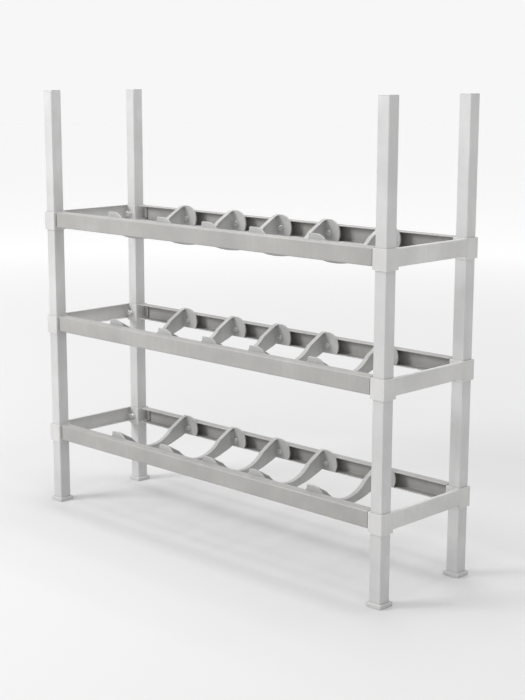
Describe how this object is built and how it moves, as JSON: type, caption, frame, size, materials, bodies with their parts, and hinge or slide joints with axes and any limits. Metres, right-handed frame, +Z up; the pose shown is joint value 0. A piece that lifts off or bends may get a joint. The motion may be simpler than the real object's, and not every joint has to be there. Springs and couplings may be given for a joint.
{
  "type": "tyre storage rack",
  "caption": "Free-standing steel tyre rack: square posts on foot plates carry tiers of channel beams with curved saddles, each tier clamped to the posts by collars.",
  "frame": {"origin": "middle of the four foot plates, on the floor", "axes": "+X along the rack to the right, +Y from front to back, +Z up"},
  "size_m": [2.172, 0.601, 2.06],
  "materials": {
    "post_paint": "satin light grey powder coat",
    "tier_paint": "satin grey powder coat",
    "saddle_paint": "satin grey powder coat, uneven over the welds",
    "zinc": "bright zinc plate",
    "cap_plastic": "matt grey moulded plastic"
  },
  "bodies": {
    "frame": {"post_front_left": "post_paint", "post_front_right": "post_paint", "post_rear_left": "post_paint", "post_rear_right": "post_paint", "foot_plates": "post_paint", "post_caps": "cap_plastic"},
    "bottom_tier": {"bottom_collar_front_left": "tier_paint", "bottom_collar_front_right": "tier_paint", "bottom_collar_rear_left": "tier_paint", "bottom_collar_rear_right": "tier_paint", "bottom_side_rail_left": "tier_paint", "bottom_side_rail_right": "tier_paint", "bottom_beam_front": "tier_paint", "bottom_beam_rear": "tier_paint", "bottom_saddle_1": "saddle_paint", "bottom_saddle_2": "saddle_paint", "bottom_saddle_3": "saddle_paint", "bottom_saddle_4": "saddle_paint", "bottom_saddle_5": "saddle_paint", "bottom_saddle_tabs": "saddle_paint", "bottom_saddle_bolts": "zinc", "bottom_nuts": "zinc", "bottom_clamp_screws": "zinc"},
    "middle_tier": {"middle_collar_front_left": "tier_paint", "middle_collar_front_right": "tier_paint", "middle_collar_rear_left": "tier_paint", "middle_collar_rear_right": "tier_paint", "middle_side_rail_left": "tier_paint", "middle_side_rail_right": "tier_paint", "middle_beam_front": "tier_paint", "middle_beam_rear": "tier_paint", "middle_saddle_1": "saddle_paint", "middle_saddle_2": "saddle_paint", "middle_saddle_3": "saddle_paint", "middle_saddle_4": "saddle_paint", "middle_saddle_5": "saddle_paint", "middle_saddle_tabs": "saddle_paint", "middle_saddle_bolts": "zinc", "middle_nuts": "zinc", "middle_clamp_screws": "zinc"},
    "top_tier": {"top_collar_front_left": "tier_paint", "top_collar_front_right": "tier_paint", "top_collar_rear_left": "tier_paint", "top_collar_rear_right": "tier_paint", "top_side_rail_left": "tier_paint", "top_side_rail_right": "tier_paint", "top_beam_front": "tier_paint", "top_beam_rear": "tier_paint", "top_saddle_1": "saddle_paint", "top_saddle_2": "saddle_paint", "top_saddle_3": "saddle_paint", "top_saddle_4": "saddle_paint", "top_saddle_5": "saddle_paint", "top_saddle_tabs": "saddle_paint", "top_saddle_bolts": "zinc", "top_nuts": "zinc", "top_clamp_screws": "zinc"}
  },
  "joints": [
    {"name": "bottom_tier_height", "type": "slide", "parent": "frame", "child": "bottom_tier", "axis": [0, 0, 1], "range_m": [-0.12, 0.12]},
    {"name": "middle_tier_height", "type": "slide", "parent": "frame", "child": "middle_tier", "axis": [0, 0, 1], "range_m": [-0.12, 0.12]},
    {"name": "top_tier_height", "type": "slide", "parent": "frame", "child": "top_tier", "axis": [0, 0, 1], "range_m": [-0.12, 0.12]}
  ]
}
